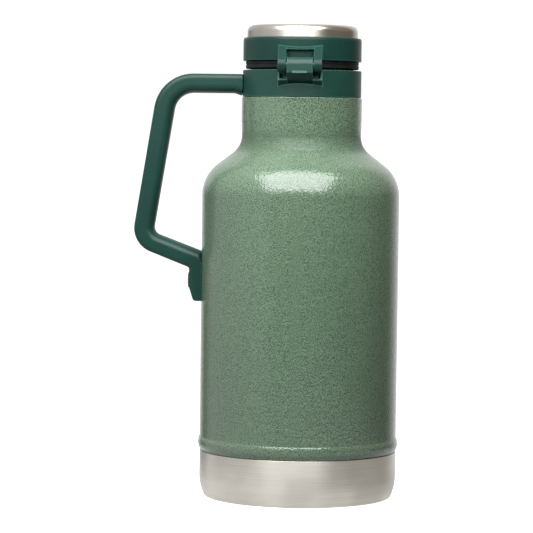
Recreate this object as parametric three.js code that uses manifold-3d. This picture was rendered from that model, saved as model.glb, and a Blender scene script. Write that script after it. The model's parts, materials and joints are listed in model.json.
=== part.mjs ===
// A vacuum-insulated growler: a double-walled steel bottle with a bare steel base, a plastic
// collar and C-shaped handle, and a hinged lid held down by a lever-and-wire latch.
//
// Millimetres, +Z up. The origin is the centre of the base, on the surface the bottle stands on.
// The handle is towards -X, the lid's hinge towards -Y and the latch towards +Y.

import * as THREE from 'three';
import { mergeVertices } from 'three/addons/utils/BufferGeometryUtils.js';
import Module from 'manifold-3d';

const wasm = await Module();
wasm.setup();

// ---------- Driving dimensions ----------

const GAP = 0.3;                      // clearance kept between pieces that would touch
const HEIGHT = 287;                   // base to the top of the lid
const BODY_R = 60;                    // painted body
const SHELL_WALL = 0.8;
const LINER_WALL = 0.7;
const LINER_R = 55.6;                 // outside of the inner vessel
const BODY_TOP = 183.3;               // where the shoulder arc begins
const SHOULDER_R = 24;                // convex radius of the shoulder
const SHOULDER_TURN = THREE.MathUtils.degToRad(52.8);
const NECK_R = 36.15;                 // painted neck, at its foot
const NECK_TOP_R = 36.5;
const NECK_TOP = 242.9;
const MOUTH_R = 31.4;                 // bare steel neck inside the collar
const RIM_TOP = 259.9;
const LINER_FLOOR = 14.6;             // underside of the inner vessel

const BASE_R = 59.9;                  // brushed base cup
const BASE_TOP = 28.3;
const BASE_WALL = 0.8;
const FOOT_R = 55;                    // flat ring that the bottle stands on
const SKIRT_R = BASE_R - BASE_WALL - GAP;   // shell's skirt, pressed into the cup
const SKIRT_LOW = 12.5;
const BEAD_R = 60.97;                 // rolled bead above the cup
const BEAD_LOW = 29.2;
const BEAD_HIGH = 36.8;

const COLLAR_R = 36;
const COLLAR_BORE_R = 32;
const COLLAR_LOW = NECK_TOP + GAP;
const COLLAR_HIGH = 259.4;

const GASKET_R = 34.3;
const GASKET_BORE_R = 27.9;
const GASKET_LOW = RIM_TOP + GAP;
const GASKET_HIGH = 264.6;

const RING_R = 35.9;                  // lid ring
const RING_BORE_R = 33.9;
const RING_LOW = GASKET_HIGH + GAP;
const RING_HIGH = 278.9;
const RING_FLOOR = 267.4;             // top of the ring's inner flange
const RING_FLANGE_R = 18;             // hole in the flange

const CAP_R = 33.5;
const CAP_WALL = 0.8;
const CAP_LOW = 268;
const CAP_EDGE_R = 3.8;               // rounding between the cap's side and top

const HINGE_Y = -41.2;                // lid hinge axis, parallel to X
const HINGE_Z = 262;
const HINGE_R = 4.5;                  // outside of the knuckle and the lid's legs
const KNUCKLE_HALF = 7.75;
const LEG_IN = 8.4;                   // the two legs of the lid's bracket, along X
const LEG_OUT = 13.15;
const SILL_OUT = 13.1;
const PIN_R = 1.5;
const PIN_HOLE_R = PIN_R + 0.25;
const HINGE_PIN_HALF = 13.7;

const HANDLE_WIDTH = 16;
const HANDLE_EDGE = 2;                // rounding of the handle's long edges
const HANDLE_TOP = 256.9;
const HANDLE_SCREW_Z = 250;           // screw from inside the collar
const FOOT_SCREW_Z = 131.3;           // screw through the handle's foot
const FOOT_SCREW_R = 5;               // its domed head
const FOOT_FACE_X = -67.3;            // outer face of the foot

const LEVER_Y = 42.6;                 // latch lever's pivot, on the lid ring
const LEVER_Z = 270;
const LEVER_HUB_R = 3.2;
const LUG_HALF = 5.5;
const CHEEK_IN = 6;                   // the lever's two cheeks, along X
const CHEEK_OUT = 7.8;
const LEVER_PIN_HALF = 8.1;
const BAIL_Y = 43.6;                  // wire bail's pivot, on the lever
const BAIL_Z = 274.1;
const BAIL_DROP = 26.6;               // pivot to the middle of the bail's bar
const BAIL_HALF = 9.4;                // middle of each leg, along X
const WIRE_R = 1.1;
const KEEPER_HALF = 5;

const ROUND = 40;                     // sides of the large turned pieces
const INNER_ROUND = 32;               // sides of the turned pieces inside them
const SMALL_ROUND = 16;               // sides of pins, screws and holes

// ---------- Materials ----------

const finish = (color, roughness, metalness) =>
  new THREE.MeshStandardMaterial({ color, roughness, metalness });

const paint = () => finish(0x6f8f73, 0.35, 0.3);
const brushedSteel = () => finish(0xc8c2b6, 0.35, 1);
const plainSteel = () => finish(0xb9b9b6, 0.3, 1);
const greenPlastic = () => finish(0x2a4e43, 0.4, 0);
const blackRubber = () => finish(0x161617, 0.7, 0);
const foam = () => finish(0xe6e2d8, 0.9, 0);
const blackPlastic = () => finish(0x1d1e1f, 0.5, 0);

// ---------- Solids ----------

const point = (x, y) => new THREE.Vector2(x, y);

// Points along an arc about (x, y), both ends included.
function arc(x, y, radius, from, to, steps) {
  const points = [];
  for (let i = 0; i <= steps; i += 1) {
    const angle = from + (to - from) * i / steps;
    points.push(point(x + radius * Math.cos(angle), y + radius * Math.sin(angle)));
  }
  return points;
}

const degrees = THREE.MathUtils.degToRad;

// Outline through [x, y, radius] corners, each rounded by an arc of its radius.
function roundedOutline(corners, stepAngle = degrees(15)) {
  const points = [];
  corners.forEach(([x, y, radius = 0], i) => {
    const corner = point(x, y);
    if (radius === 0) {
      points.push(corner);
      return;
    }
    const before = corners[(i + corners.length - 1) % corners.length];
    const after = corners[(i + 1) % corners.length];
    const back = point(before[0], before[1]).sub(corner).normalize();
    const ahead = point(after[0], after[1]).sub(corner).normalize();
    const half = Math.acos(back.dot(ahead)) / 2;
    const middle = back.clone().add(ahead).normalize().multiplyScalar(radius / Math.sin(half));
    const centre = corner.clone().add(middle);
    const start = corner.clone().addScaledVector(back, radius / Math.tan(half)).sub(centre);
    const end = corner.clone().addScaledVector(ahead, radius / Math.tan(half)).sub(centre);
    let turn = end.angle() - start.angle();
    turn = Math.atan2(Math.sin(turn), Math.cos(turn));
    const steps = Math.max(2, Math.ceil(Math.abs(turn) / stepAngle));
    points.push(...arc(centre.x, centre.y, radius, start.angle(), start.angle() + turn, steps));
  });
  return points;
}

// A closed geometry as a solid, with its shared corners merged and its faces turned outwards.
function solid(geometry) {
  const bare = geometry.clone();
  bare.deleteAttribute('normal');
  bare.deleteAttribute('uv');
  const merged = mergeVertices(bare, 1e-4);
  const corners = merged.getAttribute('position').array;
  const index = merged.getIndex().array;
  const triangles = [];
  const [a, b, c] = [new THREE.Vector3(), new THREE.Vector3(), new THREE.Vector3()];
  let volume = 0;
  for (let i = 0; i < index.length; i += 3) {
    const [p, q, r] = [index[i], index[i + 1], index[i + 2]];
    if (p !== q && q !== r && r !== p) {
      triangles.push(p, q, r);
      a.fromArray(corners, 3 * p);
      b.fromArray(corners, 3 * q);
      c.fromArray(corners, 3 * r);
      volume += a.dot(b.cross(c));
    }
  }
  if (volume < 0) {
    triangles.reverse();
  }
  return new wasm.Manifold(new wasm.Mesh({
    numProp: 3,
    vertProperties: new Float32Array(corners),
    triVerts: new Uint32Array(triangles),
  }));
}

// A solid turned about Z from a profile of (radius, height) points.
function turned(profile, segments = ROUND) {
  return solid(new THREE.LatheGeometry(profile, segments).rotateX(Math.PI / 2));
}

// A disc or cylinder standing on the axis.
function disc(radius, low, high, segments = ROUND) {
  return turned([point(0, low), point(radius, low), point(radius, high), point(0, high)], segments);
}

const ALONG_X = new THREE.Matrix4().makeBasis(
  new THREE.Vector3(0, 1, 0),
  new THREE.Vector3(0, 0, 1),
  new THREE.Vector3(1, 0, 0),
);
const ALONG_Y = new THREE.Matrix4().makeBasis(
  new THREE.Vector3(1, 0, 0),
  new THREE.Vector3(0, 0, 1),
  new THREE.Vector3(0, -1, 0),
);

// A side outline of (y, z) points, extruded from one X to another.
function sidePlate(outline, from, to) {
  const geometry = new THREE.ExtrudeGeometry(new THREE.Shape(outline), {
    depth: to - from,
    bevelEnabled: false,
  });
  return solid(geometry.applyMatrix4(ALONG_X).translate(from, 0, 0));
}

// The same plate on both sides of the middle.
function pairOfPlates(outline, inner, outer) {
  return sidePlate(outline, inner, outer).add(sidePlate(outline, -outer, -inner));
}

// A round bar parallel to X.
function barX(radius, from, to, y, z, segments = SMALL_ROUND) {
  const geometry = new THREE.CylinderGeometry(radius, radius, to - from, segments);
  return solid(geometry.rotateZ(Math.PI / 2).translate((from + to) / 2, y, z));
}

// A tapered bar parallel to X, with its own radius at each end.
function coneX(fromRadius, toRadius, from, to, y, z) {
  const geometry = new THREE.CylinderGeometry(fromRadius, toRadius, to - from, SMALL_ROUND);
  return solid(geometry.rotateZ(Math.PI / 2).translate((from + to) / 2, y, z));
}

function block(x0, x1, y0, y1, z0, z1) {
  const geometry = new THREE.BoxGeometry(x1 - x0, y1 - y0, z1 - z0);
  return solid(geometry.translate((x0 + x1) / 2, (y0 + y1) / 2, (z0 + z1) / 2));
}

const growler = new THREE.Group();

// Adds one named piece, made of one solid, to the growler.
function piece(name, body, material) {
  const { vertProperties, triVerts } = body.getMesh();
  const geometry = new THREE.BufferGeometry();
  geometry.setAttribute('position', new THREE.BufferAttribute(vertProperties, 3));
  geometry.setIndex(new THREE.BufferAttribute(triVerts, 1));
  const mesh = new THREE.Mesh(geometry, material);
  mesh.name = name;
  growler.add(mesh);
}

// ---------- Bottle ----------

// Shoulder from the body to the neck: convex arc, straight cone, small concave arc.
// inset moves it inwards, so the same curve serves both faces of the shell and of the liner.
function shoulder(inset, neckRadius) {
  const radius = SHOULDER_R - inset;
  const centre = BODY_R - SHOULDER_R;
  const convex = arc(centre, BODY_TOP, radius, 0, SHOULDER_TURN, 5);
  const last = convex[convex.length - 1];
  const slope = Math.tan(SHOULDER_TURN);
  const drop = last.x - neckRadius;
  const foot = point(neckRadius, last.y + drop / slope);
  return [
    ...convex,
    point(neckRadius + 2.9, foot.y - 2.9 / slope),
    point(neckRadius + 1.1, foot.y + 0.6),
    point(neckRadius, foot.y + 4),
  ];
}

function outerShell() {
  const wall = SHELL_WALL;
  const beadMiddle = (BEAD_LOW + BEAD_HIGH) / 2;
  const outside = [
    point(SKIRT_R, SKIRT_LOW),
    point(SKIRT_R, BASE_TOP + GAP),
    point(BODY_R, BASE_TOP + GAP),
    point(BODY_R, BEAD_LOW),
    point(BEAD_R - 0.25, BEAD_LOW + 1.2),
    point(BEAD_R, beadMiddle),
    point(BEAD_R - 0.25, BEAD_HIGH - 1.4),
    point(BODY_R, BEAD_HIGH),
    ...shoulder(0, NECK_R),
    point(NECK_TOP_R, 229),
    point(NECK_TOP_R, NECK_TOP),
    point(MOUTH_R + GAP, NECK_TOP),
  ];
  const inside = [
    point(MOUTH_R + GAP, NECK_TOP - wall),
    point(NECK_TOP_R - wall, NECK_TOP - wall),
    ...shoulder(wall, NECK_R - wall).reverse(),
    point(BODY_R - wall, BEAD_LOW + 1),
    point(SKIRT_R - wall, BEAD_LOW + 1),
    point(SKIRT_R - wall, SKIRT_LOW),
  ];
  const profile = [...outside, ...inside];
  return turned([...profile, profile[0]]);
}

// Drawn cup pressed over the shell's skirt: flat foot, rounded side, stamped ring underneath.
function baseCup() {
  const sideTurn = degrees(26);
  const sideRadius = 28.7;
  const sideCentre = BASE_R - sideRadius;
  const sideCentreZ = 13;
  const stamp = 0.9;
  const sheet = 1;
  const profile = [
    point(0, 0),
    point(36, 0),
    point(37, stamp),
    point(39, stamp),
    point(40, 0),
    point(FOOT_R, 0),
    ...arc(sideCentre, sideCentreZ, sideRadius, -sideTurn, 0, 4),
    point(BASE_R, BASE_TOP),
    point(BASE_R - BASE_WALL, BASE_TOP),
    ...arc(sideCentre, sideCentreZ, sideRadius - BASE_WALL, 0, -sideTurn, 4),
    point(FOOT_R - 0.6, sheet),
    point(40, sheet),
    point(39, stamp + sheet),
    point(37, stamp + sheet),
    point(36, sheet),
    point(0, sheet),
  ];
  return turned(profile);
}

// End plate welded inside the skirt, with the hole that the air is drawn out through.
function shellBottom() {
  const edge = SKIRT_R - SHELL_WALL - GAP;
  const low = 9.5;
  const wall = SHELL_WALL;
  const profile = [
    point(1.8, low),
    point(edge - 3, low),
    point(edge, low + 3),
    point(edge, low + 7),
    point(edge - wall, low + 7),
    point(edge - wall, low + 3.4),
    point(edge - 3.4, low + wall),
    point(1.8, low + wall),
  ];
  return turned([...profile, profile[0]], INNER_ROUND);
}

// Bead of solder that seals the evacuation hole.
function vacuumSealPlug() {
  return turned([point(0, 8.4), point(3, 8.8), point(3, 9.2), point(1.4, 9.2), point(1.4, 10.4),
    point(0, 10.8)], SMALL_ROUND);
}

function innerLiner() {
  const inner = LINER_R - LINER_WALL;
  const inset = BODY_R - LINER_R;
  const floorEdge = 8;
  const profile = [
    point(0, LINER_FLOOR),
    ...arc(LINER_R - floorEdge, LINER_FLOOR + floorEdge, floorEdge, -Math.PI / 2, 0, 4),
    ...shoulder(inset, MOUTH_R),
    point(MOUTH_R, RIM_TOP - 0.5),
    point(MOUTH_R - 0.5, RIM_TOP),
    point(MOUTH_R - 1.2, RIM_TOP),
    point(MOUTH_R - 1.5, RIM_TOP - 0.6),
    point(MOUTH_R - LINER_WALL, RIM_TOP - 1.5),
    ...shoulder(inset + LINER_WALL, MOUTH_R - LINER_WALL).reverse(),
    ...arc(inner - floorEdge, LINER_FLOOR + LINER_WALL + floorEdge, floorEdge, 0, -Math.PI / 2, 4),
    point(0, LINER_FLOOR + LINER_WALL),
  ];
  return turned(profile, INNER_ROUND);
}

// Reactive metal disc that keeps the vacuum, spot-welded under the liner.
function getterDisc() {
  return disc(6, LINER_FLOOR - GAP - 1.4, LINER_FLOOR - GAP, SMALL_ROUND);
}

// ---------- Collar, with the hinge knuckle and the latch keeper ----------

// The block's underside rises outwards from the collar in one flat slope.
const SLOPE = 0.63;
const slopeZ = (y) => 251 + SLOPE * (-COLLAR_R - y);

function hingeKnuckle() {
  const front = HINGE_Y - HINGE_R;
  const back = HINGE_Y + HINGE_R;
  const barrel = arc(HINGE_Y, HINGE_Z, HINGE_R, Math.PI, 0, 12);
  const outline = [
    point(-33, slopeZ(-33)),
    point(front, slopeZ(front)),
    ...barrel,
    point(back, COLLAR_HIGH - 0.2),
    point(-33, COLLAR_HIGH - 0.2),
  ];
  return sidePlate(outline, -KNUCKLE_HALF, KNUCKLE_HALF);
}

// Low sill across the whole block, with thin webs at its ends, under the lid's two legs.
function hingeSill() {
  const lip = -38.9;
  const inside = -31.5;
  const sill = [
    point(inside, slopeZ(inside)),
    point(lip, slopeZ(lip)),
    point(lip + 0.6, slopeZ(lip) + 0.8),
    point(inside, 255),
  ];
  const web = [
    point(inside, slopeZ(inside)),
    point(lip, slopeZ(lip)),
    point(-38, 256),
    point(-36.5, 258),
    point(inside, 258),
  ];
  return sidePlate(sill, -SILL_OUT, SILL_OUT).add(pairOfPlates(web, SILL_OUT - 0.9, SILL_OUT));
}

// Small rib on the knuckle's front, where the opened lid comes to rest.
function stopRib() {
  const front = HINGE_Y - HINGE_R;
  const outline = [point(front + 0.5, 256.9), point(front - 0.8, 257.2), point(front - 0.8, 257.6),
    point(front + 0.5, 258.6)];
  return sidePlate(outline, -4.1, 4.1);
}

// Hooked nose on the collar's front that the bail's bar catches under.
function latchKeeper() {
  const underside = 249.4;
  const outline = [point(33.5, underside - 3), point(36.6, underside), point(40.2, underside),
    point(40.3, underside - 0.4), point(41.1, underside - 0.4), point(41.3, underside + 1.2),
    point(39, underside + 4), point(33.5, underside + 5.5)];
  return sidePlate(outline, -KEEPER_HALF, KEEPER_HALF);
}

function collar() {
  const edge = 0.6;
  const profile = [
    point(COLLAR_BORE_R, COLLAR_LOW),
    point(COLLAR_R - 0.3, COLLAR_LOW),
    point(COLLAR_R, COLLAR_LOW + 0.4),
    point(COLLAR_R, COLLAR_HIGH - edge),
    point(COLLAR_R - edge, COLLAR_HIGH),
    point(COLLAR_BORE_R, COLLAR_HIGH),
  ];
  return turned([...profile, profile[0]])
    .add(hingeKnuckle())
    .add(hingeSill())
    .add(stopRib())
    .add(latchKeeper())
    .subtract(disc(COLLAR_BORE_R, COLLAR_LOW - 5, COLLAR_HIGH + 10))
    .subtract(barX(PIN_HOLE_R, -20, 20, HINGE_Y, HINGE_Z))
    .subtract(barX(1.8, -40, -30, 0, HANDLE_SCREW_Z))
    .subtract(barX(3.3, -34.4, -30, 0, HANDLE_SCREW_Z));
}

// ---------- Handle ----------

// Outline of the handle seen from -Y, as [x, z, corner radius].
const HANDLE_OUTLINE = [
  [-34, HANDLE_TOP],
  [-86.2, HANDLE_TOP, 24],
  [-102.9, 152.9, 15.5],
  [FOOT_FACE_X, 139, 1.6],
  [FOOT_FACE_X, 127.2, 2.8],
  [-64.6, 118.7, 2.4],
  [-58, 118.7],
  [-58, 148.4],
  [-89.5, 160.2, 5],
  [-75.7, 245.2, 11.8],
  [-40.6, 245.2, 6],
  [-34, 242.6],
];

function handle() {
  const geometry = new THREE.ExtrudeGeometry(new THREE.Shape(roundedOutline(HANDLE_OUTLINE)), {
    depth: HANDLE_WIDTH - 2 * HANDLE_EDGE,
    bevelThickness: HANDLE_EDGE,
    bevelSize: HANDLE_EDGE,
    bevelOffset: -HANDLE_EDGE,
    bevelSegments: 2,
  });
  geometry.applyMatrix4(ALONG_Y).translate(0, HANDLE_WIDTH / 2 - HANDLE_EDGE, 0);
  return solid(geometry)
    .subtract(disc(BODY_R + 0.35, 100, 170))
    .subtract(disc(COLLAR_R + 0.35, 240, 262))
    .subtract(block(-62.7, -58, -6.4, 6.4, FOOT_SCREW_Z - 8.4, FOOT_SCREW_Z + 8.4))
    .subtract(barX(4, -65.5, -58, 0, FOOT_SCREW_Z))
    .subtract(barX(2.4, -75, -58, 0, FOOT_SCREW_Z))
    .subtract(barX(FOOT_SCREW_R + 0.4, -75, FOOT_FACE_X + 0.9, 0, FOOT_SCREW_Z))
    .subtract(barX(1.8, -46, -30, 0, HANDLE_SCREW_Z));
}

// Steel pad welded to the body under the handle's foot, with a threaded boss.
function handleFootBracket() {
  return block(-62.3, -58, -6, 6, FOOT_SCREW_Z - 8, FOOT_SCREW_Z + 8)
    .add(barX(3.6, -65.1, -61, 0, FOOT_SCREW_Z))
    .subtract(disc(BODY_R + 0.3, 100, 170))
    .subtract(barX(2.3, -70, -58, 0, FOOT_SCREW_Z));
}

function handleFootScrew() {
  const seat = FOOT_FACE_X + 0.6;
  return coneX(FOOT_SCREW_R - 1.2, FOOT_SCREW_R, FOOT_FACE_X - 0.8, seat - 0.6, 0, FOOT_SCREW_Z)
    .add(barX(FOOT_SCREW_R, seat - 0.6, seat, 0, FOOT_SCREW_Z))
    .add(barX(2, seat - 0.3, -60.9, 0, FOOT_SCREW_Z))
    .subtract(barX(1.9, -70, seat - 0.2, 0, FOOT_SCREW_Z, 6));
}

function handleTopScrew() {
  return barX(3, -34.1, -32.5, 0, HANDLE_SCREW_Z)
    .add(barX(1.5, -45, -34, 0, HANDLE_SCREW_Z))
    .subtract(barX(1.2, -33.6, -32, 0, HANDLE_SCREW_Z, 6));
}

// ---------- Lid ----------

// Bracket on the lid ring: two legs that hang over the hinge pin, joined by a thin bar on top.
const BRACKET_CREST = [-38.4, 271.25];
const bracketTopZ = (y) => 272.5 + 0.5 * (y + RING_R);

function hingeBracket() {
  const lean = degrees(135);
  const legs = [
    point(-33, bracketTopZ(-33)),
    point(...BRACKET_CREST),
    ...arc(HINGE_Y, HINGE_Z, HINGE_R, lean, degrees(360), 12),
    point(HINGE_Y + HINGE_R, RING_LOW + 0.2),
    point(-33, RING_LOW + 0.2),
  ];
  const bar = [
    point(-33, bracketTopZ(-33)),
    point(...BRACKET_CREST),
    point(-38.1, 270.9),
    point(-33, 270.9),
  ];
  return pairOfPlates(legs, LEG_IN, LEG_OUT).add(sidePlate(bar, -LEG_IN - 0.1, LEG_IN + 0.1));
}

// Lug on the lid ring's front that carries the latch lever.
function leverLug() {
  const outline = [
    point(33, 265.3),
    ...arc(LEVER_Y, LEVER_Z, LEVER_HUB_R, degrees(-90), degrees(125), 9),
    point(33, 276),
  ];
  return sidePlate(outline, -LUG_HALF, LUG_HALF);
}

const LID_SCREW_R = 23;               // circle of the three screws in the lid
const LID_SCREW_ANGLES = [30, 150, 270].map(degrees);

function lidRing() {
  const profile = [
    point(RING_FLANGE_R, RING_LOW),
    point(RING_R, RING_LOW),
    point(RING_R, RING_HIGH - 2.4),
    point(RING_R - 0.3, RING_HIGH - 0.8),
    point(RING_R - 0.9, RING_HIGH),
    point(RING_BORE_R, RING_HIGH),
    point(RING_BORE_R, RING_FLOOR),
    point(RING_FLANGE_R, RING_FLOOR),
  ];
  let body = turned([...profile, profile[0]])
    .add(hingeBracket())
    .add(leverLug())
    .subtract(disc(RING_BORE_R, RING_FLOOR, RING_HIGH + 5))
    .subtract(barX(PIN_HOLE_R, -20, 20, HINGE_Y, HINGE_Z))
    .subtract(barX(PIN_HOLE_R, -20, 20, LEVER_Y, LEVER_Z));
  for (const angle of LID_SCREW_ANGLES) {
    body = body.subtract(disc(1.8, 260, 272, SMALL_ROUND)
      .translate(LID_SCREW_R * Math.cos(angle), LID_SCREW_R * Math.sin(angle), 0));
  }
  return body;
}

// Pressed steel cap, open underneath, with a slightly domed top.
function lidCap() {
  const outside = arc(CAP_R - CAP_EDGE_R, HEIGHT - 0.6 - CAP_EDGE_R, CAP_EDGE_R, 0, Math.PI / 2, 4);
  const insideEdge = CAP_EDGE_R - CAP_WALL;
  const inside = arc(CAP_R - CAP_EDGE_R, HEIGHT - 0.6 - CAP_EDGE_R, insideEdge, Math.PI / 2, 0, 4);
  return turned([
    point(CAP_R - CAP_WALL, CAP_LOW),
    point(CAP_R, CAP_LOW),
    ...outside,
    point(18, HEIGHT - 0.2),
    point(0, HEIGHT),
    point(0, HEIGHT - CAP_WALL),
    point(18, HEIGHT - 0.2 - CAP_WALL),
    ...inside,
    point(CAP_R - CAP_WALL, CAP_LOW),
  ], INNER_ROUND);
}

function lidInsulation() {
  const radius = CAP_R - CAP_WALL - 0.4;
  return turned([point(0, 270), point(radius, 270), point(radius, 282.4), point(radius - 3, 285.2),
    point(0, 285.4)], INNER_ROUND);
}

// Plug that closes the mouth and holds the gasket up against the ring.
function lidPlug() {
  const body = 27.6;
  const lip = 29.3;
  let plug = turned([point(0, 257.4), point(lip - 1.6, 256.4), point(lip, 257.6),
    point(lip, GASKET_LOW - GAP), point(body, GASKET_LOW - GAP), point(body, GASKET_HIGH),
    point(0, GASKET_HIGH)], INNER_ROUND);
  for (const angle of LID_SCREW_ANGLES) {
    plug = plug.subtract(disc(1.8, 258.6, 270, SMALL_ROUND)
      .translate(LID_SCREW_R * Math.cos(angle), LID_SCREW_R * Math.sin(angle), 0));
  }
  return plug;
}

// Soft ring that seals on the rim, with a groove round its edge.
function lidGasket() {
  const middle = (GASKET_LOW + GASKET_HIGH) / 2;
  const profile = [
    point(GASKET_BORE_R, GASKET_LOW),
    point(GASKET_R - 0.6, GASKET_LOW),
    point(GASKET_R, GASKET_LOW + 0.7),
    point(GASKET_R - 0.3, middle),
    point(GASKET_R, GASKET_HIGH - 0.7),
    point(GASKET_R, GASKET_HIGH),
    point(GASKET_BORE_R, GASKET_HIGH),
  ];
  return turned([...profile, profile[0]], INNER_ROUND);
}

// Pan-head screw from the flange down into the plug.
function lidScrew(angle) {
  const seat = RING_FLOOR + GAP;
  return turned([point(0, 259), point(1.5, 259.4), point(1.5, seat), point(3, seat),
    point(2.6, seat + 1.6), point(0, seat + 1.9)], 12)
    .translate(LID_SCREW_R * Math.cos(angle), LID_SCREW_R * Math.sin(angle), 0);
}

// ---------- Latch ----------

function latchLever() {
  const back = 46.1;
  const wall = 1.5;
  const tip = [48.4, 250.4];
  const bend = [back, 256];
  const web = [
    point(back, LEVER_Z + 0.8),
    point(...bend),
    point(...tip),
    point(tip[0] + 1.3, tip[1] + 0.8),
    point(back + wall, bend[1] + 0.6),
    point(back + wall, LEVER_Z + 0.8),
  ];
  const cheek = [
    ...arc(BAIL_Y, BAIL_Z, 1.9, degrees(20), degrees(190), 5),
    ...arc(LEVER_Y, LEVER_Z, 3.4, degrees(160), degrees(225), 3),
    point(back, 258),
    point(back + wall, 258),
    point(back + wall, LEVER_Z + 0.8),
  ];
  return sidePlate(web, -CHEEK_OUT, CHEEK_OUT)
    .add(pairOfPlates(cheek, CHEEK_IN, CHEEK_OUT))
    .subtract(barX(PIN_HOLE_R, -20, 20, LEVER_Y, LEVER_Z))
    .subtract(barX(WIRE_R + 0.25, -20, 20, BAIL_Y, BAIL_Z, 12));
}

// Bent wire loop: both ends turn in through the lever's cheeks, and the bar crosses below.
function latchBail() {
  const low = BAIL_Z - BAIL_DROP;
  const end = 6.2;
  const bend = 2.4;
  const at = (x, z) => new THREE.Vector3(x, BAIL_Y, z);
  const corners = [at(-end, BAIL_Z), at(-BAIL_HALF, BAIL_Z), at(-BAIL_HALF, low), at(BAIL_HALF, low),
    at(BAIL_HALF, BAIL_Z), at(end, BAIL_Z)];
  const path = new THREE.CurvePath();
  let from = corners[0];
  for (let i = 1; i < corners.length - 1; i += 1) {
    const [before, corner, after] = [corners[i - 1], corners[i], corners[i + 1]];
    const into = corner.clone().addScaledVector(before.clone().sub(corner).normalize(), bend);
    const outOf = corner.clone().addScaledVector(after.clone().sub(corner).normalize(), bend);
    path.add(new THREE.LineCurve3(from, into));
    path.add(new THREE.QuadraticBezierCurve3(into, corner, outOf));
    from = outOf;
  }
  path.add(new THREE.LineCurve3(from, corners[corners.length - 1]));
  const section = new THREE.Shape(arc(0, 0, WIRE_R, 0, 2 * Math.PI * 7 / 8, 7));
  return solid(new THREE.ExtrudeGeometry(section, { extrudePath: path, steps: 56, bevelEnabled: false }));
}

// ---------- Assembly ----------

piece('outer_shell', outerShell(), paint());
piece('base_cup', baseCup(), brushedSteel());
piece('shell_bottom', shellBottom(), plainSteel());
piece('vacuum_seal_plug', vacuumSealPlug(), plainSteel());
piece('inner_liner', innerLiner(), plainSteel());
piece('getter_disc', getterDisc(), plainSteel());
piece('collar', collar(), greenPlastic());
piece('handle', handle(), greenPlastic());
piece('handle_foot_bracket', handleFootBracket(), plainSteel());
piece('handle_foot_screw', handleFootScrew(), greenPlastic());
piece('handle_top_screw', handleTopScrew(), plainSteel());
piece('hinge_pin', barX(PIN_R, -HINGE_PIN_HALF, HINGE_PIN_HALF, HINGE_Y, HINGE_Z), plainSteel());
piece('lid_ring', lidRing(), greenPlastic());
piece('lid_cap', lidCap(), brushedSteel());
piece('lid_insulation', lidInsulation(), foam());
piece('lid_plug', lidPlug(), blackPlastic());
piece('lid_gasket', lidGasket(), blackRubber());
LID_SCREW_ANGLES.forEach((angle, i) => piece(`lid_screw_${i + 1}`, lidScrew(angle), plainSteel()));
piece('lever_pin', barX(PIN_R, -LEVER_PIN_HALF, LEVER_PIN_HALF, LEVER_Y, LEVER_Z), plainSteel());
piece('latch_lever', latchLever(), brushedSteel());
piece('latch_bail', latchBail(), plainSteel());

export default growler;
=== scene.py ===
"""A vacuum-insulated growler: the fine surfaces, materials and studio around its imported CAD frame."""

import json
import math

import bmesh
import bpy
from mathutils import Matrix, Vector


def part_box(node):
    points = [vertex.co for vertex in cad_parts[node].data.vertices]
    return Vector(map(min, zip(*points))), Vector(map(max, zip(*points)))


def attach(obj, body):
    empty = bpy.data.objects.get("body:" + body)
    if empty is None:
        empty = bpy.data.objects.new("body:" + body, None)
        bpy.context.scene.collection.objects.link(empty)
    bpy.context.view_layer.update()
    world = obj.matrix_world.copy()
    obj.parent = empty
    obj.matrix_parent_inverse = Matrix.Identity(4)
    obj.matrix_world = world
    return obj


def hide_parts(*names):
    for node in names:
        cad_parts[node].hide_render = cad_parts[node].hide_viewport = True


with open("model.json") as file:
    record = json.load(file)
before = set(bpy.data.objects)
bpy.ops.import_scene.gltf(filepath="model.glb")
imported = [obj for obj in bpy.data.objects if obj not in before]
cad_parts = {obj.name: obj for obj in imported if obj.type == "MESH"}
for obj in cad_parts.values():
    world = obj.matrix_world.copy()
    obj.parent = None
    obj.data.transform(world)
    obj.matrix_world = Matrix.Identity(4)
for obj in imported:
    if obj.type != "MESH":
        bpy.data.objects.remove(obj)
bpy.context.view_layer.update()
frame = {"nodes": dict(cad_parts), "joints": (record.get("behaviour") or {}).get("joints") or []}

MM = 0.001

# ---------- Driving dimensions, in millimetres ----------


def cad(node):
    """Lowest and highest corner of a CAD node, in millimetres."""
    low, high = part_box(node)
    return low / MM, high / MM


def radius_of(node):
    """Radius of a turned CAD node."""
    return cad(node)[1].x


HEIGHT = cad("lid_cap")[1].z

BEAD_R = radius_of("outer_shell")
BODY_R = 60.0                    # painted body
SHOULDER_R = 24.0                # convex radius of the shoulder
SHOULDER_TURN = math.radians(52.8)
BODY_TOP = 183.3                 # where the shoulder's arc begins
NECK_R = 36.15                   # painted neck at its foot
NECK_TOP_R = 36.5
NECK_FILLET = 13.0
HOLLOW_LOW = 205.0               # the hollow at the neck's foot
HOLLOW_MIDDLE = 215.0
HOLLOW_HIGH = 228.0
NECK_TOP = cad("outer_shell")[1].z
SHELL_WALL = 0.8
SKIRT_R = 58.8                   # shell's skirt, inside the base cup
SKIRT_LOW = cad("outer_shell")[0].z
BEAD_LOW = 29.2
BEAD_HIGH = 37.0

BASE_R = radius_of("base_cup")
BASE_TOP = cad("base_cup")[1].z
BASE_WALL = 0.8

LINER_R = radius_of("inner_liner")
LINER_FLOOR = cad("inner_liner")[0].z
LINER_WALL = 0.7
MOUTH_R = 31.4                   # steel neck inside the collar
RIM_TOP = cad("inner_liner")[1].z

COLLAR_R = 36.0
COLLAR_BORE_R = 32.0
COLLAR_LOW = NECK_TOP + 0.3
COLLAR_HIGH = 259.4

GASKET_R = radius_of("lid_gasket")
GASKET_BORE_R = 27.9
GASKET_LOW = cad("lid_gasket")[0].z
GASKET_HIGH = cad("lid_gasket")[1].z

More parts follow.
